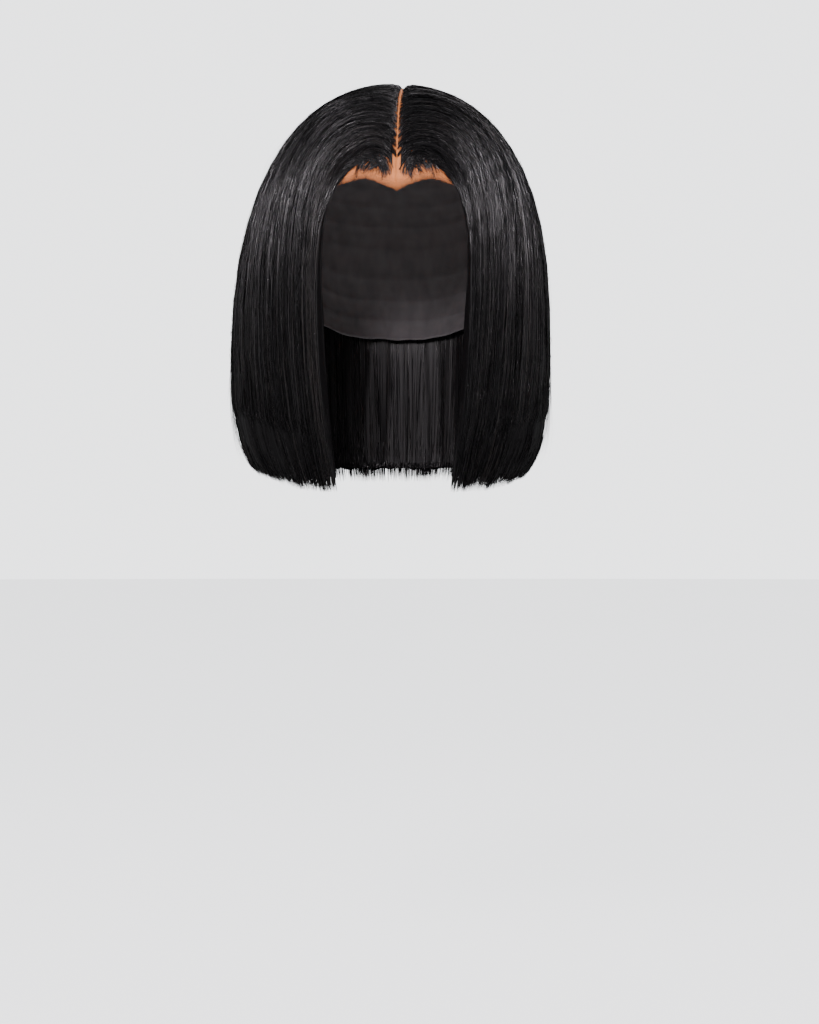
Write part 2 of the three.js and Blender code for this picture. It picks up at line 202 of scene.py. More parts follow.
def layer_share(point):
    turn = np.degrees(np.arctan2(np.abs(point[..., 0]), -point[..., 1]))
    return LAYER_SHARE * smooth(-point[..., 2], LAYER_TOP, LAYER_FULL) * smooth(turn, LAYER_TURN, NAPE_TURN)


HAIRLINE_Y = float(-reach_at(PROFILES["front"], np.array(float(HAIRLINE))))
PART_LIFT = 3.9


def part_lift(point):
    """How far the lace is raised under the part, in millimetres, so that the part is a shallow valley."""
    along = np.clip((point[..., 1] - HAIRLINE_Y) / (PART_BEHIND_CROWN - HAIRLINE_Y), 0, 1)
    away_x = point[..., 0] - lerp(PART_FRONT_X, PART_BACK_X, along)
    away_y = point[..., 1] - lerp(HAIRLINE_Y, PART_BEHIND_CROWN, along)
    near = 1 - smooth(np.hypot(away_x, away_y), 1.5, 16)
    return PART_LIFT * near * smooth(point[..., 1] - HAIRLINE_Y, 0, 16)


def on_lace(point, lift):
    """The point at a height above the lace, in millimetres, that lies behind or before a point."""
    return on_cap(point, lift + part_lift(on_cap(point)))


# The strand tables: the hair's outside, its roots' ground, its inside, how far it has risen from that
# ground, and its outward direction, at each place around and each share of a strand.
AROUND = np.linspace(-1, 1, 1601)
LONGEST = 1.03
SHARES = np.linspace(0, LONGEST, 261)


def strand_tables():
    side = np.where(AROUND < 0, -1.0, 1.0)
    across = 1 - np.abs(AROUND)
    guide = {c: between(GUIDES, "across", across, c) for c in ("root", "run", "lean", "bend", "fall")}
    guide["root"] = np.clip(guide["root"], 0, 1)
    x = lerp(PART_FRONT_X, PART_BACK_X, guide["root"])
    y = lerp(HAIRLINE_Y, PART_BEHIND_CROWN, guide["root"])
    past = np.maximum((across - CROWN_ACROSS) / (1 - CROWN_ACROSS), 0) * math.pi / 2
    start = to_map(x + side * PART_WIDTH / 2 * np.cos(past), y + FAN_BEHIND_PART * np.sin(past))
    out = start + np.stack([side * guide["run"], guide["lean"]], -1)
    bend = on_map(np.radians(side * guide["bend"]), BEND)
    tip = on_map(np.radians(side * guide["fall"]), 1)
    t = SHARES[None, :, None]
    start, out, bend, tip = (p[:, None, :] for p in (start, out, bend, tip))
    place = (1 - t) ** 3 * start + 3 * (1 - t) ** 2 * t * out + 3 * (1 - t) * t * t * bend + t ** 3 * tip
    turn = np.arctan2(place[..., 0], -place[..., 1])
    outer = outer_point(turn, depth_on_map(turn, np.hypot(place[..., 0], place[..., 1])))
    ground = on_lace(outer, 0.12)
    inner = inside_of(outer)
    facing = np.degrees(np.arctan2(np.abs(outer[..., 0]), -outer[..., 1]))
    fuller = smooth(-outer[..., 2], 200, 240) * smooth(facing, 40, 75) * (1 - smooth(facing, 110, 145))
    outwards = fuller * np.where(outer[..., 0] < 0, CORNER_RIGHT, CORNER_LEFT)
    outer = outer + np.sign(outer[..., :1]) * outwards[..., None] * np.array([1, 0, 0])
    from_part = np.linalg.norm(outer - outer[:, :1], axis=-1)
    edge = np.where(AROUND[:, None, None] < 0, outer[:1], outer[-1:])
    from_edge = np.linalg.norm(outer - edge, axis=-1)
    lip = lerp(smooth(from_edge, -2, 9), 1, smooth(-outer[..., 2], 62, 92))
    climb = lerp(4.2, 0.9, smooth(guide["root"], 0.3, 0.75))[:, None]
    rise = lerp(0.06, 1, 1 - np.exp(-((from_part / climb) ** 1.15))) * lip
    tall = np.maximum(np.linalg.norm(outer - ground, axis=-1), 1e-6)
    part_way = np.minimum(np.linalg.norm(inner - ground, axis=-1) / tall, 0.5 * rise)[..., None]
    inner = np.where(outer[..., 2:] > -HEAD_CROWN, lerp(ground, outer, part_way), inner)
    hanging = smooth(-outer[..., 2], HAIRLINE, LAYER_TOP)
    near_edge = 1 - smooth(across, 0, 0.16)
    keep = np.maximum(layer_share(outer), EDGE_SHARE * hanging * near_edge[:, None])
    du = np.gradient(outer, axis=0)
    dv = np.gradient(outer, axis=1)
    normal = np.cross(du, dv)
    normal /= np.maximum(np.linalg.norm(normal, axis=-1, keepdims=True), 1e-9)
    normal *= np.sign(np.sum(normal * (outer - inner), -1, keepdims=True))
    return outer, ground, lerp(inner, outer, keep[..., None]), rise, normal


T_OUTER, T_GROUND, T_INNER, T_RISE, T_NORMAL = strand_tables()


def look_up(table, around, share):
    u = np.clip((around + 1) / 2 * (len(AROUND) - 1), 0, len(AROUND) - 1.001)
    v = np.clip(share / LONGEST * (len(SHARES) - 1), 0, len(SHARES) - 1.001)
    i, j = u.astype(int), v.astype(int)
    fu, fv = u - i, v - j
    if table.ndim == 3:
        fu, fv = fu[..., None], fv[..., None]
    near = table[i, j] * (1 - fu) + table[i + 1, j] * fu
    far = table[i, j + 1] * (1 - fu) + table[i + 1, j + 1] * fu
    return near * (1 - fv) + far * fv


# Locks are counted round from the wearer's right front edge, and k is a place among them.
K_GRID = np.linspace(0, LOCKS, 4201)
UNEVEN = K_GRID + LOCK_UNEVENNESS * np.sin(LOCK_RHYTHM * K_GRID)
A_GRID = 2 * UNEVEN / UNEVEN[-1] - 1


def around_of(k):
    return np.interp(k, K_GRID, A_GRID)


def shorter(k):
    """How much shorter than the front the hair is cut over the ears, as a share of a strand."""
    around = around_of(k)
    fall = between(GUIDES, "across", 1 - np.abs(around), "fall")
    return np.where(around < 0, 0.015, 0.009) * np.exp(-(((fall - 80) / 24) ** 2))


def waves(x, y, seed, count=5, fx=(0.6, 3.0), fy=(0.3, 1.6)):
    """A smooth random field from a few seeded waves, between about -1 and 1."""
    r = np.random.default_rng(seed)
    total = 0
    for _ in range(count):
        along_x = r.uniform(*fx) * x * 2 * math.pi
        along_y = r.uniform(*fy) * y * 2 * math.pi * r.choice((-1, 1))
        total = total + np.sin(along_x + along_y + r.uniform(0, 7))
    return total / math.sqrt(count * 2)


def relief(k, share):
    """How far the hair's surface lies below its outer form, in millimetres: locks and ridges."""
    strong = lerp(0.12, 1, np.clip(share, 0, 1))
    groove = (1 - np.sin(math.pi * (k % 1))) * LOCK_DEPTH * strong
    bent = k + 0.1 * np.sin(4.1 * share + 0.9 * k) + 0.06 * np.sin(8.3 * share - 1.7 * k)
    sub = bent * SUB_LOCKS + 0.9 * waves(k, share, 5, fx=(0.1, 0.5), fy=(0.1, 0.4))
    depth = 0.35 + 0.3 * waves(k, share, 9, fx=(0.3, 1.3), fy=(0.2, 0.8))
    cleft = (1 - np.abs(np.sin(math.pi * sub))) ** 2.5 * np.clip(depth, 0.05, 0.9)
    cleft = cleft * lerp(0.2, 1.4, np.clip(share, 0, 1))
    small = bent * FINE_LOCKS + 1.3 * waves(k, share, 21, fx=(0.3, 1.1), fy=(0.1, 0.6))
    line = (1 - np.abs(np.sin(math.pi * small))) ** 2 * 0.4 * lerp(0.35, 1, np.clip(share * 2, 0, 1))
    fine = 0.08 * waves(k, share, 12, count=6, fx=(5, 15), fy=(0.2, 1.0))
    return groove * 0.7 + cleft + line + fine


def set_back(k, share):
    """The first hairs are swept a little behind the edge of their mass, along the arch over the forehead."""
    much = smooth(share, 0, 0.06) * (1 - smooth(share, 0.13, 0.32))
    return k + much * (0.11 * np.clip(1 - k / 1.2, 0, 1) - 0.05 * np.clip(1 - (LOCKS - k) / 1.2, 0, 1))


def hair_point(k, share, under, lift=0.0):
    """A point of the hair: under is 0 on its outside, 1 on its inside, and lift is in millimetres above."""
    k = set_back(k, share)
    a = around_of(k)
    outer = look_up(T_OUTER, a, share)
    ground = look_up(T_GROUND, a, share)
    inner = look_up(T_INNER, a, share)
    rise = look_up(T_RISE, a, share)[..., None]
    normal = look_up(T_NORMAL, a, share)
    top = lerp(ground, outer, rise)
    thick = np.linalg.norm(top - inner, axis=-1)
    sink = np.minimum(relief(k, share), 0.5 * thick)
    top = top - normal * (sink * (1 - under))[..., None]
    lift = np.asarray(lift)[..., None]
    lift = np.where(lift < 0, lift * rise, lift * lerp(0.35, 1, rise))
    return lerp(top, inner, np.asarray(under)[..., None]) + normal * lift


# Materials.
def tree_of(name):
    material = bpy.data.materials.new(name)
    material.use_nodes = True
    return material, material.node_tree, material.node_tree.nodes["Principled BSDF"]


def add(tree, kind, **values):
    node = tree.nodes.new(kind)
    for key, value in values.items():
        if key in node.inputs:
            node.inputs[key].default_value = value
        else:
            setattr(node, key, value)
    return node


def lock_material(name):
    """The body of the hair under its loose strands: streaks along the strands in colour, gloss and height."""
    material, tree, shader = tree_of(name)
    link = tree.links.new
    uv = add(tree, "ShaderNodeUVMap", uv_map="strand")
    stretch = add(tree, "ShaderNodeMapping")
    stretch.inputs["Scale"].default_value = (26, 1.2, 1)
    link(uv.outputs["UV"], stretch.inputs["Vector"])
    streak = add(tree, "ShaderNodeTexNoise", Scale=1.0, Detail=5.0, Roughness=0.7)
    link(stretch.outputs["Vector"], streak.inputs["Vector"])
    colour = add(tree, "ShaderNodeValToRGB")
    colour.color_ramp.elements[0].position = 0.3
    colour.color_ramp.elements[0].color = (0.001, 0.0009, 0.0011, 1)
    colour.color_ramp.elements[1].position = 0.75
    colour.color_ramp.elements[1].color = (0.0045, 0.0038, 0.0042, 1)
    link(streak.outputs["Fac"], colour.inputs["Fac"])
    link(colour.outputs["Color"], shader.inputs["Base Color"])
    gloss = add(tree, "ShaderNodeMapRange")
    gloss.inputs["To Min"].default_value = 0.34
    gloss.inputs["To Max"].default_value = 0.5
    link(streak.outputs["Fac"], gloss.inputs["Value"])
    link(gloss.outputs["Result"], shader.inputs["Roughness"])
    bump = add(tree, "ShaderNodeBump", Strength=0.5, Distance=0.0003)
    link(streak.outputs["Fac"], bump.inputs["Height"])
    link(bump.outputs["Normal"], shader.inputs["Normal"])
    shader.inputs["Specular IOR Level"].default_value = 0.2
    return material


def net_material(name, low, high, cell, alpha=None, roughness=0.8):
    """Fine net: threads in two directions with small gaps, by the surface's own map in millimetres."""
    material, tree, shader = tree_of(name)
    link = tree.links.new
    uv = add(tree, "ShaderNodeUVMap", uv_map="net")
    heights = []
    for turn in (60, -60):
        place = add(tree, "ShaderNodeMapping")
        place.inputs["Rotation"].default_value = (0, 0, math.radians(turn))
        link(uv.outputs["UV"], place.inputs["Vector"])
        wave = add(tree, "ShaderNodeTexWave", Scale=1 / cell, Distortion=0.6)
        wave.inputs["Detail"].default_value = 1.0
        link(place.outputs["Vector"], wave.inputs["Vector"])
        heights.append(wave.outputs["Fac"])
    thread = add(tree, "ShaderNodeMath", operation="MAXIMUM")
    link(heights[0], thread.inputs[0])
    link(heights[1], thread.inputs[1])
    tone = add(tree, "ShaderNodeTexNoise", Scale=0.12, Detail=3.0)
    link(uv.outputs["UV"], tone.inputs["Vector"])
    both = add(tree, "ShaderNodeMath", operation="MULTIPLY_ADD")
    both.inputs[1].default_value = 0.5
    link(tone.outputs["Fac"], both.inputs[0])
    half = add(tree, "ShaderNodeMath", operation="MULTIPLY")
    half.inputs[1].default_value = 0.5
    link(thread.outputs["Value"], half.inputs[0])
    link(half.outputs["Value"], both.inputs[2])
    colour = add(tree, "ShaderNodeValToRGB")
    colour.color_ramp.elements[0].position = 0.2
    colour.color_ramp.elements[0].color = (*low, 1)
    colour.color_ramp.elements[1].position = 0.8
    colour.color_ramp.elements[1].color = (*high, 1)
    link(both.outputs["Value"], colour.inputs["Fac"])
    link(colour.outputs["Color"], shader.inputs["Base Color"])
    bump = add(tree, "ShaderNodeBump", Strength=0.4, Distance=0.0002)
    link(thread.outputs["Value"], bump.inputs["Height"])
    link(bump.outputs["Normal"], shader.inputs["Normal"])
    shader.inputs["Roughness"].default_value = roughness
    if alpha:
        see = add(tree, "ShaderNodeMapRange")
        see.inputs["From Min"].default_value = 0.35
        see.inputs["From Max"].default_value = 0.75
        see.inputs["To Min"].default_value = alpha[0]
        see.inputs["To Max"].default_value = alpha[1]
        link(thread.outputs["Value"], see.inputs["Value"])
        rim = add(tree, "ShaderNodeUVMap", uv_map="rim")
        outwards = add(tree, "ShaderNodeSeparateXYZ")
        link(rim.outputs["UV"], outwards.inputs["Vector"])
        thinner = add(tree, "ShaderNodeMapRange")
        thinner.inputs["From Min"].default_value = 0.93
        thinner.inputs["From Max"].default_value = 1.0
        thinner.inputs["To Min"].default_value = 1.0
        thinner.inputs["To Max"].default_value = 0.12
        link(outwards.outputs["Y"], thinner.inputs["Value"])
        clear = add(tree, "ShaderNodeMath", operation="MULTIPLY")
        link(see.outputs["Result"], clear.inputs[0])
        link(thinner.outputs["Result"], clear.inputs[1])
        link(clear.outputs["Value"], shader.inputs["Alpha"])
    return material


def strand_material(name):
    """Single hairs: each has its own shade, gloss and slow change along its length."""
    material, tree, shader = tree_of(name)
    link = tree.links.new
    uv = add(tree, "ShaderNodeUVMap", uv_map="strand")
    split = add(tree, "ShaderNodeSeparateXYZ")
    link(uv.outputs["UV"], split.inputs["Vector"])
    column = add(tree, "ShaderNodeMath", operation="MULTIPLY")
    column.inputs[1].default_value = STRAND_COLUMNS
    link(split.outputs["X"], column.inputs[0])
    whole = add(tree, "ShaderNodeMath", operation="FLOOR")
    link(column.outputs["Value"], whole.inputs[0])
    own = add(tree, "ShaderNodeTexWhiteNoise", noise_dimensions="1D")
    link(whole.outputs["Value"], own.inputs["W"])
    stretch = add(tree, "ShaderNodeMapping")
    stretch.inputs["Scale"].default_value = (STRAND_COLUMNS * 0.9, 7, 1)
    link(uv.outputs["UV"], stretch.inputs["Vector"])
    change = add(tree, "ShaderNodeTexNoise", Scale=1.0, Detail=3.0, Roughness=0.6)
    link(stretch.outputs["Vector"], change.inputs["Vector"])
    shade = add(tree, "ShaderNodeMath", operation="MULTIPLY_ADD")
    shade.inputs[1].default_value = 0.3
    link(change.outputs["Fac"], shade.inputs[0])
    part = add(tree, "ShaderNodeMath", operation="MULTIPLY")
    part.inputs[1].default_value = 0.7
    link(own.outputs["Value"], part.inputs[0])
    link(part.outputs["Value"], shade.inputs[2])
    colour = add(tree, "ShaderNodeValToRGB")
    ramp = colour.color_ramp
    ramp.elements[0].position = 0.15
    ramp.elements[0].color = (0.0012, 0.0011, 0.0013, 1)
    ramp.elements[1].position = 0.9
    ramp.elements[1].color = (0.012, 0.0085, 0.0072, 1)
    middle = ramp.elements.new(0.55)
    middle.color = (0.0028, 0.0025, 0.0029, 1)
    soft = ramp.elements.new(0.74)
    soft.color = (0.005, 0.0042, 0.0045, 1)
    link(shade.outputs["Value"], colour.inputs["Fac"])
    link(colour.outputs["Color"], shader.inputs["Base Color"])
    other = add(tree, "ShaderNodeTexWhiteNoise", noise_dimensions="2D")
    spread = add(tree, "ShaderNodeCombineXYZ")
    link(whole.outputs["Value"], spread.inputs["X"])
    link(spread.outputs["Vector"], other.inputs["Vector"])
    gloss = add(tree, "ShaderNodeMapRange")
    gloss.inputs["To Min"].default_value = 0.17
    gloss.inputs["To Max"].default_value = 0.32
    link(other.outputs["Value"], gloss.inputs["Value"])
    link(gloss.outputs["Result"], shader.inputs["Roughness"])
    sheen = add(tree, "ShaderNodeMapRange")
    sheen.inputs["From Min"].default_value = 0.1
    sheen.inputs["To Min"].default_value = 0.22
    sheen.inputs["To Max"].default_value = 1.0
    link(own.outputs["Value"], sheen.inputs["Value"])
    along = add(tree, "ShaderNodeValToRGB")
    along.color_ramp.elements[0].position = 0.12
    along.color_ramp.elements[0].color = (0.8, 0.8, 0.8, 1)
    along.color_ramp.elements[1].position = 0.62
    along.color_ramp.elements[1].color = (1, 1, 1, 1)
    low = along.color_ramp.elements.new(0.38)
    low.color = (0.45, 0.45, 0.45, 1)
    link(split.outputs["Y"], along.inputs["Fac"])
    level = add(tree, "ShaderNodeMath", operation="MULTIPLY")
    link(sheen.outputs["Result"], level.inputs[0])
    link(along.outputs["Color"], level.inputs[1])
    link(level.outputs["Value"], shader.inputs["Specular IOR Level"])
    shader.inputs["IOR"].default_value = 1.55
    return material


STRAND_COLUMNS = 96
ROUND = math.radians(62)
STRAND = strand_material("hair_strands")
LOCK = lock_material("hair_locks")
NET = net_material("cap_net", (0.012, 0.011, 0.012), (0.06, 0.054, 0.056), 1.1)
LACE = net_material(
    "lace_net", (0.31, 0.08, 0.014), (0.48, 0.145, 0.032), 0.8, alpha=(0.66, 0.98), roughness=0.55)


# Meshes.
def mesh_object(name, vertices, quads, material, uv, uv_name, baked, normals=None):
    """A smooth mesh: vertices in millimetres, four corners a face, a map for its pattern and a second one,
    OFBake, laid out for a bake.
    """
    mesh = bpy.data.meshes.new(name)
    mesh.vertices.add(len(vertices))
    mesh.vertices.foreach_set("co", (np.asarray(vertices) * MM).astype(np.float32).ravel())
    mesh.loops.add(quads.size)
    mesh.loops.foreach_set("vertex_index", quads.astype(np.int32).ravel())
    mesh.polygons.add(len(quads))
    mesh.polygons.foreach_set("loop_start", np.arange(0, quads.size, 4, dtype=np.int32))
    mesh.materials.append(material)
    mesh.update(calc_edges=True)
    for map_name, places in ((uv_name, uv), ("OFBake", baked)):
        layer = mesh.uv_layers.new(name=map_name)
        layer.data.foreach_set("uv", places[quads.ravel()].astype(np.float32).ravel())
    mesh.uv_layers.active = mesh.uv_layers[uv_name]
    mesh.shade_smooth()
    if normals is not None:
        mesh.normals_split_custom_set_from_vertices(normals.astype(np.float32))
    piece = bpy.data.objects.new(name, mesh)
    bpy.context.scene.collection.objects.link(piece)
    return piece


def grid_quads(columns, rows, first=0, flip=False):
    i, j = np.meshgrid(np.arange(columns - 1), np.arange(rows - 1), indexing="ij")
    a = first + i * rows + j
    quads = np.stack([a, a + 1, a + rows + 1, a + rows], -1).reshape(-1, 4)
    return quads[:, ::-1] if flip else quads


def unit(v):
    return v / np.maximum(np.linalg.norm(v, axis=-1, keepdims=True), 1e-9)


def ribbons(rng, points, outward, width, roll, column=None):
    """Strands along rows of points, two edges each, turned about their way by roll, shaded as if round."""
    along = unit(np.gradient(points, axis=1))
    flat = unit(np.cross(along, outward))
    up = np.cross(flat, along)
    across = flat * np.cos(roll)[..., None] + up * np.sin(roll)[..., None]
    edges = across * (width / 2)[..., None]
    vertices = np.stack([points - edges, points + edges], 2).reshape(-1, 3)
    facing = up * np.cos(roll)[..., None] - flat * np.sin(roll)[..., None]
    c, o = math.cos(ROUND), math.sin(ROUND)
    normals = np.stack([facing * c - across * o, facing * c + across * o], 2).reshape(-1, 3)
    n, m = points.shape[:2]
    a = 2 * (np.arange(n)[:, None] * m + np.arange(m - 1)[None, :])
    quads = np.stack([a, a + 1, a + 3, a + 2], -1).reshape(-1, 4)
    column = rng.integers(0, STRAND_COLUMNS, n) if column is None else column
    u = (column[:, None, None] + np.array([0.06, 0.94])) / STRAND_COLUMNS + np.zeros((n, m, 1))
    v = np.linspace(0.01, 0.99, m)[None, :, None] + np.zeros((n, 1, 2))
    return vertices, quads, np.stack([u, v], -1).reshape(-1, 2), normals


def ribbon_piece(name, rng, sheaves):
    """Sheaves of strands become one piece."""
    first, vertices, quads, uvs, normals = 0, [], [], [], []
    for sheaf in sheaves:
        v, q, uv, normal = ribbons(rng, *sheaf)
        normals.append(normal)
        vertices.append(v)
        quads.append(q + first)
        uvs.append(uv)
        first += len(v)
    uv = np.concatenate(uvs)
    piece = mesh_object(
        name, np.concatenate(vertices), np.concatenate(quads), STRAND, uv, "strand", uv,
        np.concatenate(normals))
    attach(piece, "root")


def strand_sheaf(
        rng, n, k_range, start, end, stops, under, lift, width,
        clump=0.3, wander=0.05, roll=0.55, sparse=0.0, kink=0.0):
    """Points, outward directions, widths, rolls and columns of n strands among the locks of k_range."""
    k0 = rng.uniform(k_range[0], k_range[1], n)
    centre = (np.floor(k0 * SUB_LOCKS) + 0.5) / SUB_LOCKS
    s0 = rng.uniform(start[0], start[1], n)
    from_front = np.minimum(k0, LOCKS - k0)
    thinning = lerp(0.75, 1.5, smooth(from_front, 0.5, 5))
    s0 = s0 + sparse * rng.random(n) ** thinning * (1 - smooth(from_front, 1, 8))
    s0 = s0 + 1.2 * sparse * rng.random(n) * (rng.random(n) < 0.6) * (1 - smooth(from_front, 0.15, 0.9))
    s1 = end(n) - shorter(k0)
    share = s0[:, None] + (s1 - s0)[:, None] * stops[None, :]
    k = k0[:, None] + (centre - k0)[:, None] * clump * np.clip(share, 0, 1) ** 1.5
    phase = rng.uniform(0, 6.3, (n, 3))
    size = rng.gamma(1.6, wander / 1.6, n)[:, None]
    sway = np.sin(3.1 * share + phase[:, :1]) + 0.5 * np.sin(7.3 * share + phase[:, 1:2])
    k = k + size * sway * np.clip(share * 3, 0, 1)
    k = np.clip(k, k_range[0] + 0.03, k_range[1] - 0.03)
    depth = under(n)[:, None] + 0 * share
    rise = lift(n)[:, None] + rng.uniform(0, 0.35, n)[:, None] * np.sin(11 * share + phase[:, 2:3])
    rise = rise + kink * rng.random((n, 1)) * np.sin(math.pi * stops)
    points = hair_point(k, share, depth, rise)
    beside = hair_point(k + 0.02, share, depth, rise) - hair_point(k - 0.02, share, depth, rise)
    apart = np.maximum(np.linalg.norm(beside, axis=-1), 0.02)
    slope = np.clip((relief(k + 0.02, share) - relief(k - 0.02, share)) / apart, -0.9, 0.9)
    outward = unit(look_up(T_NORMAL, around_of(k), share) + unit(beside) * slope[..., None])
    thin = 1 - 0.85 * smooth(np.broadcast_to(stops, share.shape), 0.86, 1.0)
    w = width(n)[:, None] * thin
    r = rng.uniform(-roll, roll, n)[:, None]
    r = r + 0.35 * np.sin(rng.uniform(6, 22, n)[:, None] * share + phase[:, :1])
    r = r * lerp(0.5, 1, smooth(share, 0.05, 0.4))
    bunch = np.floor(k0 * rng.choice((5.0, 9.0, 14.0), n)).astype(int)
    column = np.where(rng.random(n) < 0.62, bunch * 37, rng.integers(0, STRAND_COLUMNS, n)) % STRAND_COLUMNS
    return points, outward, w, r, column


def rows(n, bunch=0.8):
    t = np.linspace(0, 1, n)
    return lerp(t, t ** 1.6, bunch)


SHELL_LIFT = -0.95


def lock_shell(name, k0, k1):
    """The body of one hair mass under its loose strands, with its locks in relief."""
    columns, count = (k1 - k0) * 12 + 1, 66
    k = np.linspace(k0 + 0.02, k1 - 0.02, columns)[:, None] + np.zeros(count)
    ends = 0.992 - shorter(k[:, :1]) + 0.002 * waves(k[:, :1], 0 * k[:, :1], 31, fx=(0.4, 2.5))
    from_front = np.minimum(k[:, :1], LOCKS - k[:, :1])
    begin = lerp(0.095, 0.004, smooth(from_front, 0.8, 8)) + 0.05 * (1 - smooth(from_front, 0.3, 1.1))
    share = lerp(begin, ends, rows(count)[None, :])
    few, low = (k1 - k0) * 3 + 1, 34
    kk = np.linspace(k0 + 0.02, k1 - 0.02, few)[:, None] + np.zeros(low)
    ss = lerp(0.02, 0.99 - shorter(kk[:, :1]), rows(low)[None, :])
    parts, quads, uvs, first = [], [], [], 0

    def lay(places, shape, kk, ss, flip):
        nonlocal first
        parts.append(places.reshape(-1, 3))
        quads.append(grid_quads(*shape, first, flip=flip))
        uvs.append(np.stack([kk + 0 * ss, ss + 0 * kk], -1).reshape(-1, 2))
        first += shape[0] * shape[1]

    outside = hair_point(k, share, np.zeros_like(k), np.full_like(k, SHELL_LIFT))
    lay(outside, (columns, count), k, share, False)
    lay(hair_point(kk, ss, np.ones_like(kk)), (few, low), kk, ss, True)
    for at, flip in ((0, False), (columns - 1, True)):
        depth = np.linspace(0, 1, 5)[:, None] + np.zeros(count)
        edge_k, edge_s = np.full_like(depth, k[at, 0]), np.broadcast_to(share[at], depth.shape)
        wall = hair_point(edge_k, edge_s, depth, np.full_like(depth, SHELL_LIFT))
        lay(wall, (5, count), edge_k + depth * (0.5 if at == 0 else -0.5), edge_s, not flip)
    for row, flip in ((count - 1, False), (0, True)):
        depth = np.linspace(0, 1, 4)[None, :] + np.zeros((columns, 1))
        end_s = np.broadcast_to(share[:, row:row + 1], depth.shape)
        end_k = np.broadcast_to(k[:, :1], depth.shape)
        wall = hair_point(end_k, end_s, depth, np.full_like(depth, SHELL_LIFT))
        lay(wall, (columns, 4), end_k, end_s + depth * (0.05 if row == 0 else -0.05), flip)
    uv = np.concatenate(uvs)
    baked = np.stack([(uv[:, 0] - k0) / (k1 - k0), np.clip(uv[:, 1], 0, 1)], -1)
    return mesh_object(name, np.concatenate(parts), np.concatenate(quads), LOCK, uv, "strand", baked)


OUTSIDE_STRANDS, INSIDE_STRANDS, TIP_STRANDS, GLINTS = 2750, 330, 1800, 1100


def two_widths(rng, n):
    """A quarter of the strands are broad, as hairs that cling together, and the others fine."""
    return np.where(rng.random(n) < 0.24, rng.uniform(0.5, 0.85, n), rng.uniform(0.24, 0.44, n))


def dress_mass(node, k0, k1):
    shell = lock_shell(node + "_locks", k0, k1)
    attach(shell, "root")
    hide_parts(node)
    rng = np.random.default_rng(500 + k0)
    size = (k1 - k0) / 7
    dense = size ** 0.25
    outside = strand_sheaf(
        rng, int(OUTSIDE_STRANDS * dense), (k0, k1), (0, 0.012),
        lambda n: 1.002 - rng.gamma(1.4, 0.003, n), rows(19, 0.6),
        lambda n: np.abs(rng.normal(0, 0.05, n)), lambda n: rng.uniform(-0.75, 0.5, n),
        lambda n: two_widths(rng, n) * size ** 0.3, sparse=0.095)
    inside = strand_sheaf(
        rng, int(INSIDE_STRANDS * size), (k0, k1), (0.05, 0.3),
        lambda n: 0.994 - rng.gamma(1.5, 0.006, n), rows(12, 0),
        lambda n: rng.uniform(0.93, 1.0, n), lambda n: rng.uniform(-0.5, 0.2, n),
        lambda n: rng.uniform(0.5, 0.9, n))
    tips = strand_sheaf(
        rng, int(TIP_STRANDS * dense), (k0, k1), (0.9, 0.97),
        lambda n: 1.008 - rng.gamma(1.5, 0.0042, n), rows(6, 0),
        lambda n: rng.uniform(0, 1, n) ** 0.8, lambda n: rng.uniform(-0.5, 0.6, n),
        lambda n: rng.uniform(0.2, 0.42, n), clump=0.12)
    begin = rng.uniform(0.2, 0.95, int(GLINTS * dense))
    glints = strand_sheaf(
        rng, len(begin), (k0, k1), (begin, begin),
        lambda n: begin + rng.uniform(0.006, 0.016, n), rows(3, 0),
        lambda n: np.zeros(n), lambda n: rng.uniform(0.2, 0.6, n),
        lambda n: rng.uniform(0.2, 0.36, n), roll=1.1, kink=0.8)
    ribbon_piece(node + "_strands", rng, [outside, inside, tips, glints])


for node, (first_lock, last_lock) in MASSES.items():
    dress_mass(node, first_lock, last_lock)


# The hair sewn along the nape.
def nape_point(turn, depth, across, sink=0.0):
    over = outer_point(turn, depth)
    under = inside_of(over)
    thick = np.linalg.norm(over - under, axis=-1)
    share = layer_share(over) - LAYER_GAP / thick
    return lerp(under, over, (share * across + sink / thick)[..., None]), unit(over - under)


def nape_relief(turn, depth):
    x = np.degrees(turn) / 8.0
    groove = (1 - np.abs(np.sin(math.pi * (x + 0.25 * np.sin(depth / 40 + x))))) ** 2
    return 0.9 * groove + 0.25 * waves(x, depth / 100, 77, fx=(1, 4), fy=(0.2, 0.8))


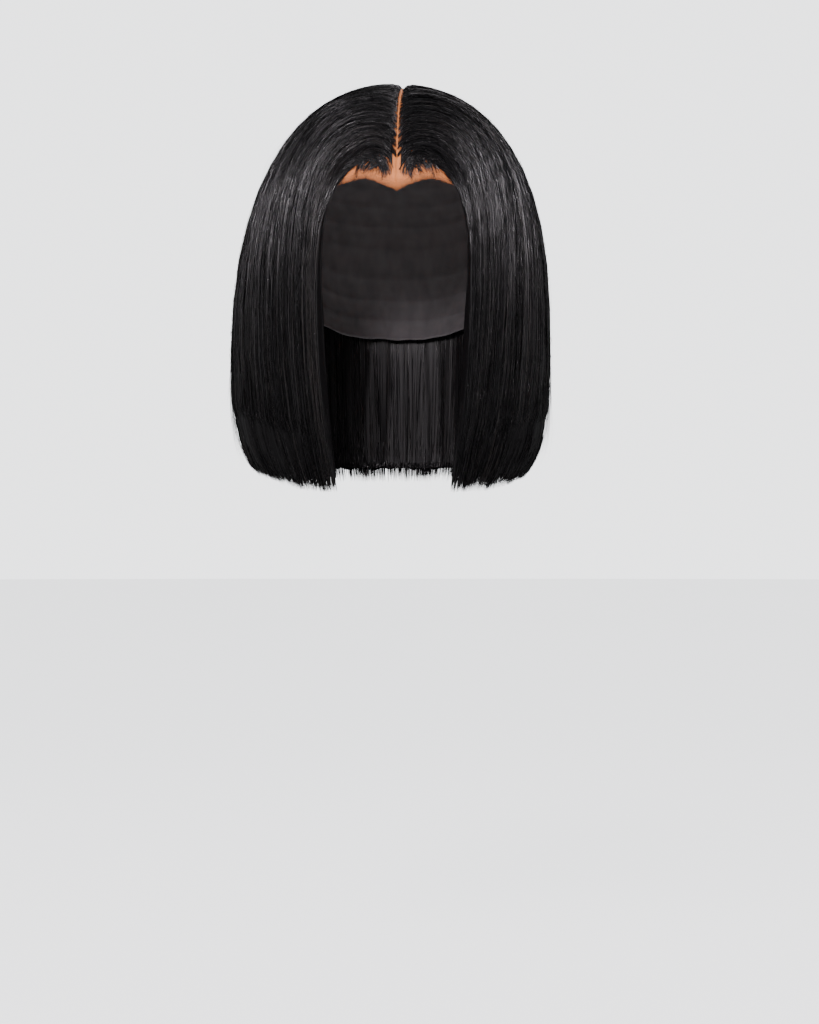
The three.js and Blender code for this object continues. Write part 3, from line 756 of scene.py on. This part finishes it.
def dress_nape():
    turns = np.radians(np.linspace(360 - NAPE_TURN, NAPE_TURN, 150))[:, None] + np.zeros(26)
    low = tip_depth(turns) - NAPE_SHORTER - 2
    depth = lerp(NAPE_TOP, low, np.linspace(0, 1, 26)[None, :])
    outside, _ = nape_point(turns, depth, 1.0)
    sunk = np.clip(nape_relief(turns, depth), 0, 1.5)
    inside, _ = nape_point(turns, depth, 0.0, sunk)
    vertices = np.concatenate([outside.reshape(-1, 3), inside.reshape(-1, 3)])
    n = outside.shape[0] * outside.shape[1]
    uv = np.stack([np.degrees(turns) / 8, depth / 260], -1).reshape(-1, 2)
    uv = np.concatenate([uv, uv])
    quads = np.concatenate([grid_quads(150, 26), grid_quads(150, 26, n, flip=True)])
    shell = mesh_object("nape_locks", vertices, quads, LOCK, uv, "strand", uv / np.array([33, 1]))
    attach(shell, "root")
    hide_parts("nape_hair")
    rng = np.random.default_rng(900)
    sheaves = []
    for count, steps, top, in_low, in_high in ((1300, 12, 0.0, 0.0, 0.12), (2000, 5, 0.8, 0.0, 1.0)):
        t0 = np.radians(rng.uniform(NAPE_TURN + 1, 359 - NAPE_TURN, count))[:, None]
        t = np.linspace(0, 1, steps)[None, :]
        end = tip_depth(t0) - NAPE_SHORTER - rng.gamma(1.4, 1.1, count)[:, None] + 2
        begin = lerp(NAPE_TOP, end, top + rng.uniform(0, 0.1, count)[:, None])
        depth = begin + (end - begin) * t
        sway = np.radians(rng.normal(0, 0.8, count))[:, None]
        turn = t0 + sway * np.sin(2.2 * t + rng.uniform(0, 6, count)[:, None])
        across = rng.uniform(in_low, in_high, count)[:, None] + 0 * t
        sink = np.clip(nape_relief(turn, depth), 0, 1.5) * (1 - across)
        sink = sink - rng.uniform(-0.2, 0.5, count)[:, None]
        points, outward = nape_point(turn, depth, across, sink)
        width = rng.uniform(0.28, 0.55, count)[:, None] * (1 - 0.85 * smooth(t, 0.85, 1))
        roll = rng.uniform(-0.9, 0.9, count)[:, None] + 0 * t
        sheaves.append((points, outward, width, roll))
    ribbon_piece("nape_strands", rng, sheaves)


dress_nape()


# Cap and lace.
def cap_point(turn, share, wall):
    folded = np.abs(np.mod(turn + 180, 360) - 180)
    edge = HEAD_CROWN * (1 - between(CAP_EDGE, "turn", folded, "depth"))
    edge = edge + 0.35 * np.sin(turn * 1.9) + 0.25 * np.sin(turn * 4.7)
    lower = np.where(edge < 0, edge / HEAD_BELOW, edge / HEAD_CROWN)
    lowest = np.arccos(np.sign(lower) * np.abs(lower) ** (ROUNDNESS / 2))
    tip = lowest * share
    height = np.sign(np.cos(tip)) * np.abs(np.cos(tip)) ** (2 / ROUNDNESS)
    spread = np.maximum(np.sin(tip), 0) ** (2 / ROUNDNESS)
    x, y = np.sin(np.radians(turn)), -np.cos(np.radians(turn))
    ahead = np.where(y < 0, HEAD_FRONT, HEAD_BACK) + wall
    radius = spread / root(power(x / (HEAD_HALF_WIDTH + wall)) + power(y / ahead))
    tall = np.where(height > 0, HEAD_CROWN + wall, HEAD_BELOW)
    return np.stack([radius * x, radius * y, height * tall - HEAD_CROWN], -1)


# The cap's own map, in millimetres from the crown, and how far apart its wefts are.
CAP_LENGTH, WEFT_SPACING = 135, 9


def cap_piece(name, node, material, face_side, wall, thickness, columns, count, weft=0.0):
    turn = np.linspace(0, 360, columns)[:, None] + np.zeros(count)
    share = np.linspace(0.0, 1, count)[None, :] + np.zeros((columns, 1))
    points = cap_point(turn, share, wall)
    length = share * CAP_LENGTH
    ridge = np.clip(1.6 * np.cos(length * 2 * math.pi / WEFT_SPACING) - 0.5, 0, 1) * weft
    points = on_cap(points, wall - CAP_WALL - ridge + (part_lift(points) if face_side else 0))
    uv = np.stack([length * np.sin(np.radians(turn)), -length * np.cos(np.radians(turn))], -1).reshape(-1, 2)
    quads = grid_quads(columns, count, flip=True)
    baked_uv = uv / (2 * CAP_LENGTH + 2) + 0.5
    piece = mesh_object(name, points.reshape(-1, 3), quads, material, uv, "net", baked_uv)
    rim = np.stack([turn / 360, share], -1).reshape(-1, 2)
    layer = piece.data.uv_layers.new(name="rim")
    layer.data.foreach_set("uv", rim[quads.ravel()].astype(np.float32).ravel())
    piece.data.uv_layers.active = piece.data.uv_layers["net"]
    tilt = math.radians(SEAM_TILT)
    shift = -SEAM_GAP / 2 if face_side else SEAM_GAP / 2
    plane_no = np.array([0, math.cos(tilt), -math.sin(tilt)])
    plane_co = (np.array([0, SEAM_BEHIND_CROWN, 0]) + plane_no * shift) * MM
    work = bmesh.new()
    work.from_mesh(piece.data)
    bmesh.ops.bisect_plane(
        work, geom=work.verts[:] + work.edges[:] + work.faces[:], plane_co=plane_co, plane_no=plane_no,
        clear_outer=face_side, clear_inner=not face_side)
    bmesh.ops.remove_doubles(work, verts=work.verts, dist=1e-6)
    work.to_mesh(piece.data)
    work.free()
    solid = piece.modifiers.new("wall", "SOLIDIFY")
    solid.thickness = thickness * MM
    solid.offset = 0
    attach(piece, "root")
    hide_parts(node)


cap_piece("lace", "lace_front", LACE, True, CAP_WALL - 0.25, 0.3, 241, 60)
cap_piece("cap", "wig_cap", NET, False, CAP_WALL * 0.7, 0.6, 121, 110, weft=0.5)


# Roots along the part, where tufts of single hairs cross the strip of lace.
ROOT_TUFTS = 34


def part_roots():
    rng = np.random.default_rng(41)
    n, m = 1750, 8
    side = rng.choice((-1.0, 1.0), n)
    at = 0.03 + 0.97 * rng.uniform(0, 1, n) ** 1.3
    tuft = np.round(at * ROOT_TUFTS + rng.normal(0, 0.3, n) + side * 0.2)
    at = np.clip(lerp(at, tuft / ROOT_TUFTS, 0.45), 0.02, 1)
    bold = 0.5 + 0.5 * np.sin(tuft * 2.7 + side) * np.sin(tuft * 1.3)
    across = np.interp(at, GUIDES["root"][:4], GUIDES["across"][:4])
    around = side * (1 - across)
    s = np.linspace(0, 1, m)[None, :] ** 1.3 * (rng.uniform(0.03, 0.08, n) + 0.05 * (1 - at))[:, None]
    a = around[:, None] + 0 * s
    outer = look_up(T_OUTER, a, s)
    ground = look_up(T_GROUND, a, s)
    away = np.linalg.norm(outer - outer[:, :1], axis=-1)
    climb = rng.uniform(3.5, 6.0, n) * lerp(1, 0.35, smooth(at, 0.3, 0.7))
    rise = 1 - np.exp(-((away / climb[:, None]) ** 1.3))
    place = np.interp(a, A_GRID, K_GRID)
    outer = outer - look_up(T_NORMAL, a, s) * (relief(place, s) * smooth(away, 1, 8))[..., None]
    points = lerp(ground, outer, rise[..., None] * 0.97)
    clear = smooth(at, 0.12, 0.4)
    into = (0.12 + rng.exponential(0.18, n)) * lerp(1, 0.6, clear) + 0.75 * bold * rng.random(n) ** 1.5
    into = into.clip(0, 1.4)
    fade = 1 - smooth(away, 0, 4)
    sideways = -side[:, None] * into[:, None] * fade
    onward = (1.0 + 0.9 * (1 - at) + rng.normal(0, 0.45, n)) * (0.5 + into)
    forward = -onward[:, None] * (1 - smooth(away, 0, 7))
    points = points + np.stack([sideways, forward, 0 * sideways], -1)
    hugging = on_lace(points, 0.2)
    points = lerp(hugging, points, smooth(away, 0.5, 4)[..., None])
    t = np.linspace(0, 1, m)[None, :]
    width = rng.uniform(0.16, 0.34, n)[:, None] * lerp(0.65, 1.0, smooth(t, 0, 0.4))
    roll = rng.uniform(-0.4, 0.4, n)[:, None] + 0 * t
    ribbon_piece("part_roots", rng, [(points, look_up(T_NORMAL, a, s), width, roll)])


part_roots()


FRONT_EDGE = 0.9999


def by_hairline(side, s, inward, lift):
    """A point by a mass's front edge: s is the share along it, inward is in millimetres from it,
    and lift is in millimetres above the hair or the lace there."""
    a = side * FRONT_EDGE + 0 * s
    edge = look_up(T_OUTER, a, s)
    onward = unit(look_up(T_OUTER, a, s + 0.01) - edge)
    out = unit(np.cross(onward, look_up(T_NORMAL, a, s))) * side[..., None]
    place = edge - out * inward[..., None]
    from_edge = smooth(inward, -2, 9) - smooth(0, -2, 9) * 0.6
    hair = 5.6 * from_edge * (1 - np.exp(-((np.abs(place[..., 0]) / 4.6) ** 1.15)))
    return on_lace(place, 0.2 + np.maximum(hair, 0) + lift)


# Hairs along the front hairline: roots in the lace that sweep over into the hair, and fine short free ones.
def hairline():
    rng = np.random.default_rng(43)
    m = 11
    t = np.linspace(0, 1, m)[None, :]
    sheaves = []

    def sweep(n, s0, ahead, along, inward, bend, lift, width, taper=0.5):
        side = rng.choice((-1.0, 1.0), n)[:, None] + 0 * t
        s0 = lerp(s0, np.round(s0 * 80) / 80, 0.5)
        s = s0[:, None] + along[:, None] * t ** bend[:, None]
        reach = -ahead[:, None] + (ahead + inward)[:, None] * t
        points = by_hairline(side, s, reach, lift[:, None] * np.sin(math.pi * np.clip(t * 0.9, 0, 1)))
        normal = look_up(T_NORMAL, side * FRONT_EDGE, s)
        w = width[:, None] * lerp(0.45, 1.0, smooth(t, 0, 0.35)) * (1 - taper * smooth(t, 0.7, 1))
        sheaves.append((points, normal, w, rng.uniform(-0.5, 0.5, n)[:, None] + 0 * t))

    u = rng.uniform
    # The two soft tufts before the part.
    n = 190
    s0 = u(0.008, 0.075, n)
    peak = np.exp(-(((s0 - 0.036) / 0.018) ** 2))
    sweep(n, s0, (rng.gamma(2.0, 0.9, n) + 8.5 * peak * rng.random(n) ** 0.8).clip(0, 9.5),
          u(0.07, 0.15, n), u(1, 6, n), u(0.95, 1.5, n), u(0, 0.4, n), u(0.14, 0.3, n), 0.3)
    # The thin edge all along.
    n = 800
    s0 = 0.05 + 0.35 * u(0, 1, n) ** 0.7
    early = 1 - smooth(s0, 0.12, 0.28)
    ahead = rng.exponential(0.6, n).clip(0, 2.6) - u(0, 6, n) * early
    sweep(n, s0, ahead, u(0.08, 0.18, n), u(1, 5, n) + 1.5 * early,
          u(1.0, 1.4, n), u(0, 0.6, n), u(0.13, 0.26, n))
    # Short hairs rooted in the lace before the arch, which rise into the hair.
    n = 64
    s0 = u(0.055, 0.16, n)
    sweep(n, s0, rng.gamma(3.0, 2.1, n).clip(2, 10.5), u(0.03, 0.09, n), u(0.5, 3, n),
          u(1.2, 2.0, n), u(0, 0.3, n), u(0.2, 0.4, n), 0.2)
    # Baby hairs that leave the edge of the arch in loose groups and bow over the lace along it.
    n = 135
    group = np.round(u(0.07, 0.27, n) * 46)
    s0 = group / 46 + rng.normal(0, 0.005, n)
    side = rng.choice((-1.0, 1.0), n)
    down = (6.4 + 2.4 * np.sin(2.9 * group + 1.7 * side) + rng.normal(0, 1.5, n)).clip(1.5, 11)
    onward = 0.075 + 0.03 * np.sin(1.7 * group + side) + rng.normal(0, 0.015, n)
    s = s0[:, None] + onward[:, None] * t ** 1.3
    reach = u(0.5, 3.0, n)[:, None] * (1 - t) - down[:, None] * t ** u(0.6, 1.15, n)[:, None]
    points = by_hairline(side[:, None] + 0 * t, s, reach, 0.25 + 0 * t)
    w = u(0.24, 0.52, n)[:, None] * (1 - 0.75 * smooth(t, 0.55, 1))
    normal = look_up(T_NORMAL, (side * FRONT_EDGE)[:, None] + 0 * t, s)
    sheaves.append((points, normal, w, u(-0.4, 0.4, n)[:, None] + 0 * t))
    ribbon_piece("hairline_strands", rng, sheaves)


hairline()


def flyaways():
    rng = np.random.default_rng(47)
    n, m = 260, 20
    k = rng.uniform(0.3, LOCKS - 0.3, n)
    s0 = rng.uniform(0.02, 0.75, n)
    s1 = np.minimum(s0 + rng.uniform(0.15, 0.5, n), 1.015)
    t = np.linspace(0, 1, m)[None, :]
    share = s0[:, None] + (s1 - s0)[:, None] * t
    high = rng.gamma(1.3, 1.1, n).clip(0.4, 5)[:, None]
    bow = np.sin(math.pi * t) ** rng.uniform(0.7, 1.6, n)[:, None]
    loose = rng.random(n)[:, None] < 0.45
    lift = high * np.where(loose, t ** 1.4, bow) + 0.2
    drift = rng.normal(0, 0.28, n)[:, None] * t ** 1.5
    kk = np.clip(k[:, None] + drift, 0.05, LOCKS - 0.05)
    points = hair_point(kk, share, np.zeros_like(kk), lift)
    outward = look_up(T_NORMAL, around_of(kk), share)
    width = rng.uniform(0.12, 0.22, n)[:, None] * (1 - 0.8 * smooth(t, 0.7, 1))
    roll = rng.uniform(-0.5, 0.5, n)[:, None] + 0 * t
    ribbon_piece("flyaway_strands", rng, [(points, outward, width, roll)])


flyaways()


def loose_ends():
    """Thin wisps that leave the hair near its ends over the ears and hang straight."""
    rng = np.random.default_rng(53)
    n, m = 150, 10
    side = rng.choice((-1.0, 1.0), n)
    around = side * (1 - rng.normal(0.475, 0.035, n).clip(0.4, 0.56))
    k = np.interp(around, A_GRID, K_GRID)
    k = lerp(k, np.round(k * 3) / 3, 0.7)[:, None]
    t = np.linspace(0, 1, m)[None, :]
    s0 = rng.uniform(0.8, 0.9, n)[:, None]
    s1 = (0.985 - rng.gamma(1.5, 0.012, n))[:, None]
    share = s0 + (s1 - s0) * t
    kk = k + rng.normal(0, 0.12, n)[:, None] * t
    lift = rng.gamma(2.0, 1.3, n).clip(0.5, 8)[:, None] * t ** rng.uniform(1.2, 2.2, n)[:, None]
    points = hair_point(kk, share, np.zeros_like(kk), lift)
    width = rng.uniform(0.16, 0.32, n)[:, None] * (1 - 0.85 * smooth(t, 0.5, 1))
    outward = look_up(T_NORMAL, around_of(kk), share)
    roll = rng.uniform(-0.5, 0.5, n)[:, None] + 0 * t
    ribbon_piece("loose_ends", rng, [(points, outward, width, roll)])


loose_ends()


# Floor, light and camera.
def stage_material():
    material, tree, shader = tree_of("pale_floor")
    noise = add(tree, "ShaderNodeTexNoise", Scale=6.0, Detail=4.0)
    ramp = add(tree, "ShaderNodeValToRGB")
    ramp.color_ramp.elements[0].color = (0.86, 0.86, 0.865, 1)
    ramp.color_ramp.elements[1].color = (0.9, 0.9, 0.905, 1)
    tree.links.new(noise.outputs["Fac"], ramp.inputs["Fac"])
    tree.links.new(ramp.outputs["Color"], shader.inputs["Base Color"])
    shader.inputs["Roughness"].default_value = 0.9
    return material


FLOOR = -0.62
CAMERA_AT = (0.0082, -2.0, -0.2707)
PIXEL = 0.655e-3
SENSOR, PICTURE_WIDTH = 36, 819

bpy.ops.mesh.primitive_circle_add(vertices=96, radius=14, fill_type="NGON", location=(0, 0, FLOOR))
floor = bpy.context.object
floor.name = "floor"
floor.data.materials.append(stage_material())
floor.visible_glossy = False

# The studio: pale all round, and dark where the hair would mirror it, as black cloth beside a camera does.
world = bpy.data.worlds.new("studio")
bpy.context.scene.world = world
world.use_nodes = True
tree = world.node_tree
rays = tree.nodes.new("ShaderNodeLightPath")
strength = tree.nodes.new("ShaderNodeMapRange")
strength.inputs["To Min"].default_value = 2.9
strength.inputs["To Max"].default_value = 0.22
tree.links.new(rays.outputs["Is Glossy Ray"], strength.inputs["Value"])
tree.nodes["Background"].inputs["Color"].default_value = (0.97, 0.98, 1, 1)
tree.links.new(strength.outputs["Result"], tree.nodes["Background"].inputs["Strength"])


def soft_light(name, azimuth, elevation, distance, size, watts, aim=(0, 0, -0.1)):
    """An area light at an angle from straight ahead, positive to the picture's right and up."""
    data = bpy.data.lights.new(name, "AREA")
    data.shape = "RECTANGLE"
    data.size, data.size_y = size
    data.energy = watts
    data.color = (1, 0.925, 0.98)
    light = bpy.data.objects.new(name, data)
    bpy.context.scene.collection.objects.link(light)
    a, e = math.radians(azimuth), math.radians(elevation)
    way = np.array([math.sin(a) * math.cos(e), -math.cos(a) * math.cos(e), math.sin(e)])
    light.location = np.array(aim) + distance * way
    light.rotation_euler = (math.radians(90) - e, 0, a)
    light.visible_camera = False


soft_light("key", -10.5, 21.5, 2.3, (0.4, 0.4), 47)
soft_light("side_right", 70, 18, 2.3, (0.6, 0.6), 10)
soft_light("side_left", -70, 18, 2.3, (0.6, 0.6), 9)
soft_light("back", 170, 30, 2.3, (0.9, 0.7), 3)

camera_data = bpy.data.cameras.new("camera")
camera_data.sensor_fit = "HORIZONTAL"
camera_data.sensor_width = SENSOR
camera_data.lens = SENSOR * (-CAMERA_AT[1] / PIXEL) / PICTURE_WIDTH
camera_data.clip_end = 50
camera = bpy.data.objects.new("camera", camera_data)
camera.location = CAMERA_AT
camera.rotation_euler = (math.radians(90), 0, 0)
bpy.context.scene.collection.objects.link(camera)
bpy.context.scene.camera = camera
